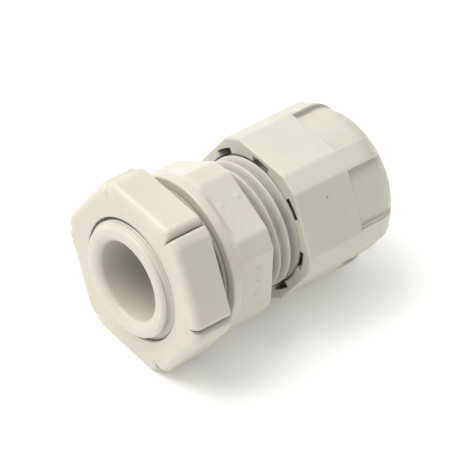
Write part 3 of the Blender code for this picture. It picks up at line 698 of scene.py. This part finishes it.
def moulded_plastic(name, colour, roughness=0.36, cloudiness=0.12):
    """The tint above, scuffs that take the roughness from 0.06 below its value to 0.12 above it, and two
    bumps: the mould's grain, and the waves of its shrinking."""
    material, tree, shader = new_finish(name)
    where = add(tree, "ShaderNodeTexCoord", output="Object")
    tree.links.new(polyamide_tint(tree, where, colour), shader.inputs["Base Color"])
    scuffs = add(tree, "ShaderNodeTexNoise",
                 {"Vector": where, "Scale": scale_of(SCUFF_MM), "Detail": 4.0, "Roughness": 0.6})
    scuffs = add(tree, "ShaderNodeMapRange", {"Value": scuffs, "From Min": 0.35, "From Max": 0.7,
                                              "To Min": roughness - 0.06, "To Max": roughness + 0.12})
    tree.links.new(scuffs, shader.inputs["Roughness"])
    grain = add(tree, "ShaderNodeTexNoise", {"Vector": where, "Scale": scale_of(GRAIN_MM)})
    grain = add(tree, "ShaderNodeBump", {"Height": grain, "Distance": 0.012 * MM, "Strength": 0.6})
    waves = add(tree, "ShaderNodeTexNoise", {"Vector": where, "Scale": scale_of(WAVE_MM)})
    waves = add(tree, "ShaderNodeBump", {"Height": waves, "Distance": 0.03 * MM, "Strength": 0.6,
                                         "Normal": grain})
    tree.links.new(waves, shader.inputs["Normal"])
    shader.inputs["IOR"].default_value = 1.53
    shader.inputs["Subsurface Weight"].default_value = cloudiness
    shader.inputs["Subsurface Scale"].default_value = 1.0 * MM
    shader.inputs["Subsurface Radius"].default_value = (1.0, 0.85, 0.6)
    return material


# %% Moulded nitrile rubber: matt black, with a pale bloom
BLOOM_MM, RUBBER_GRAIN_MM = 1.2, 0.2


def seal_rubber(name, colour, bloom_colour):
    """A noise lays up to 0.35 of the bloom's colour over the rubber, and takes the roughness from 0.55
    to 0.85 with it. A second noise is the grain."""
    material, tree, shader = new_finish(name)
    where = add(tree, "ShaderNodeTexCoord", output="Object")
    bloom = add(tree, "ShaderNodeTexNoise",
                {"Vector": where, "Scale": scale_of(BLOOM_MM), "Detail": 4.0, "Roughness": 0.6})
    bloom = add(tree, "ShaderNodeMapRange",
                {"Value": bloom, "From Min": 0.45, "From Max": 0.75, "To Max": 0.35})
    tint = add(tree, "ShaderNodeMix", {0: bloom, 6: linear(colour), 7: linear(bloom_colour)}, 2,
               data_type="RGBA")
    tree.links.new(tint, shader.inputs["Base Color"])
    roughness = add(tree, "ShaderNodeMapRange",
                    {"Value": bloom, "From Max": 0.35, "To Min": 0.55, "To Max": 0.85})
    tree.links.new(roughness, shader.inputs["Roughness"])
    grain = add(tree, "ShaderNodeTexNoise",
                {"Vector": where, "Scale": scale_of(RUBBER_GRAIN_MM), "Detail": 3.0})
    grain = add(tree, "ShaderNodeBump", {"Height": grain, "Distance": 0.02 * MM, "Strength": 0.7})
    tree.links.new(grain, shader.inputs["Normal"])
    shader.inputs["IOR"].default_value = 1.52
    return material


# %% Dress the pieces
def dress(item, material):
    """Gives a piece one material in place of any it has."""
    item.data.materials.clear()
    item.data.materials.append(material)


dress(gland_body, moulded_plastic("body_polyamide_grey", 0xD0CDBF))
dress(lock_nut, moulded_plastic("lock_nut_polyamide_grey", 0xD0CDBE, roughness=0.38))
dress(dome_nut, moulded_plastic("dome_nut_polyamide_grey", 0xCFCDBF, roughness=0.38))
# Polyethylene lets light further in than polyamide, so the washer is the cloudiest piece.
dress(washer, moulded_plastic("washer_polyethylene_pale", 0xB0AEA0, roughness=0.38, cloudiness=0.2))
claw_grey = moulded_plastic("claw_polyamide_grey", 0xC6C2B2, roughness=0.4)
for piece in claw_pieces:
    dress(piece, claw_grey)
dress(seal, seal_rubber("nitrile_rubber_black", 0x222221, 0x605E5A))
print("finishes:", ", ".join(sorted(m.name for m in bpy.data.materials if m.users)))

# %% [markdown]
# ## 11. Floor, light and camera
#
# The gland lies on a white sheet. A large soft light from the upper left shapes the flats, a small lamp
# in front adds a little glint, and a white surround, brighter overhead, fills the shadows. The sheet
# gives off a little light of its own, because a lit sheet alone would render grey. A long lens keeps the
# view calm.

# %% White sheet of paper
SHEET_HALF, SHEET_GLOW, FIBRE_MM = 1.5, 0.12, 2.0


def white_paper():
    """Two whites in clouds the size of pressed fibres, matt, with a little light of its own."""
    material, tree, shader = new_finish("white_paper")
    where = add(tree, "ShaderNodeTexCoord", output="Object")
    fibres = add(tree, "ShaderNodeTexNoise", {"Vector": where, "Scale": scale_of(FIBRE_MM), "Detail": 3.0})
    fibres = add(tree, "ShaderNodeMapRange", {"Value": fibres, "From Min": 0.3, "From Max": 0.7})
    tint = add(tree, "ShaderNodeMix", {0: fibres, 6: linear(0xFDFDFC), 7: linear(0xFAFAF9)}, 2,
               data_type="RGBA")
    tree.links.new(tint, shader.inputs["Base Color"])
    shader.inputs["Roughness"].default_value = 0.9
    shader.inputs["Emission Color"].default_value = (1.0, 1.0, 1.0, 1.0)
    shader.inputs["Emission Strength"].default_value = SHEET_GLOW
    return material


corners = np.array([(-1, -1, 0), (1, -1, 0), (1, 1, 0), (-1, 1, 0)]) * SHEET_HALF
floor = new_piece("white_sheet", corners, [(0, 1, 2, 3)])
dress(floor, white_paper())


# %% Lamps and surround
def aim(item, position, target, roll=0.0):
    """Puts a lamp or camera somewhere and points it at a target, turned about its own view line."""
    back = (Vector(position) - Vector(target)).normalized()
    turn = (-back).to_track_quat("-Z", "Y").to_matrix().to_4x4()
    item.matrix_world = Matrix.Translation(position) @ turn @ Matrix.Rotation(math.radians(roll), 4, "Z")


def softbox(name, position, size, power, colour=(1.0, 1.0, 1.0)):
    """A square area light aimed at the gland."""
    light = bpy.data.lights.new(name, "AREA")
    light.size = size
    light.energy = power
    light.color = colour
    item = bpy.data.objects.new(name, light)
    bpy.context.scene.collection.objects.link(item)
    aim(item, position, (0.0, 0.0, 0.01))
    return item


softbox("key_softbox", (-0.26, 0.27, 0.60), 0.55, 4.0, (1.0, 0.965, 0.90))
softbox("glint_lamp", (-0.10, -0.42, 0.60), 0.05, 0.08)

world = bpy.data.worlds.new("white_surround")
bpy.context.scene.world = world
world.use_nodes = True
surround = world.node_tree.nodes["Background"]
surround.inputs["Color"].default_value = (1.0, 1.0, 1.0, 1.0)
direction = add(world.node_tree, "ShaderNodeTexCoord", output="Generated")
overhead = add(world.node_tree, "ShaderNodeVectorMath", {0: direction, 1: (0.0, 0.2, 0.98)}, "Value",
               operation="DOT_PRODUCT")
strength = add(world.node_tree, "ShaderNodeMapRange", {"Value": overhead, "From Min": -0.2, "From Max": 1.0,
                                                       "To Min": 0.10, "To Max": 0.98})
world.node_tree.links.new(strength, surround.inputs["Strength"])
bpy.context.scene.view_settings.view_transform = "Standard"
print("lamps:", ", ".join(sorted(light.name for light in bpy.data.lights)))

# %% Camera
FOCUS = Vector((-0.00105, 0.00042, 0.0102))
DISTANCE = 0.3697
AZIMUTH, ELEVATION, ROLL = math.radians(-44.91), math.radians(41.86), 7.02
LENS, SENSOR = 250.4, 36.0

camera_data = bpy.data.cameras.new("long_lens")
camera_data.lens = LENS
camera_data.sensor_width = SENSOR
camera_data.clip_start = 0.01
camera = bpy.data.objects.new("long_lens", camera_data)
bpy.context.scene.collection.objects.link(camera)
towards_camera = Vector((math.sin(AZIMUTH) * math.cos(ELEVATION), -math.cos(AZIMUTH) * math.cos(ELEVATION),
                         math.sin(ELEVATION)))
aim(camera, FOCUS + towards_camera * DISTANCE, FOCUS, ROLL)
bpy.context.scene.camera = camera
print("camera at", [round(v, 3) for v in camera.matrix_world.translation], "m")
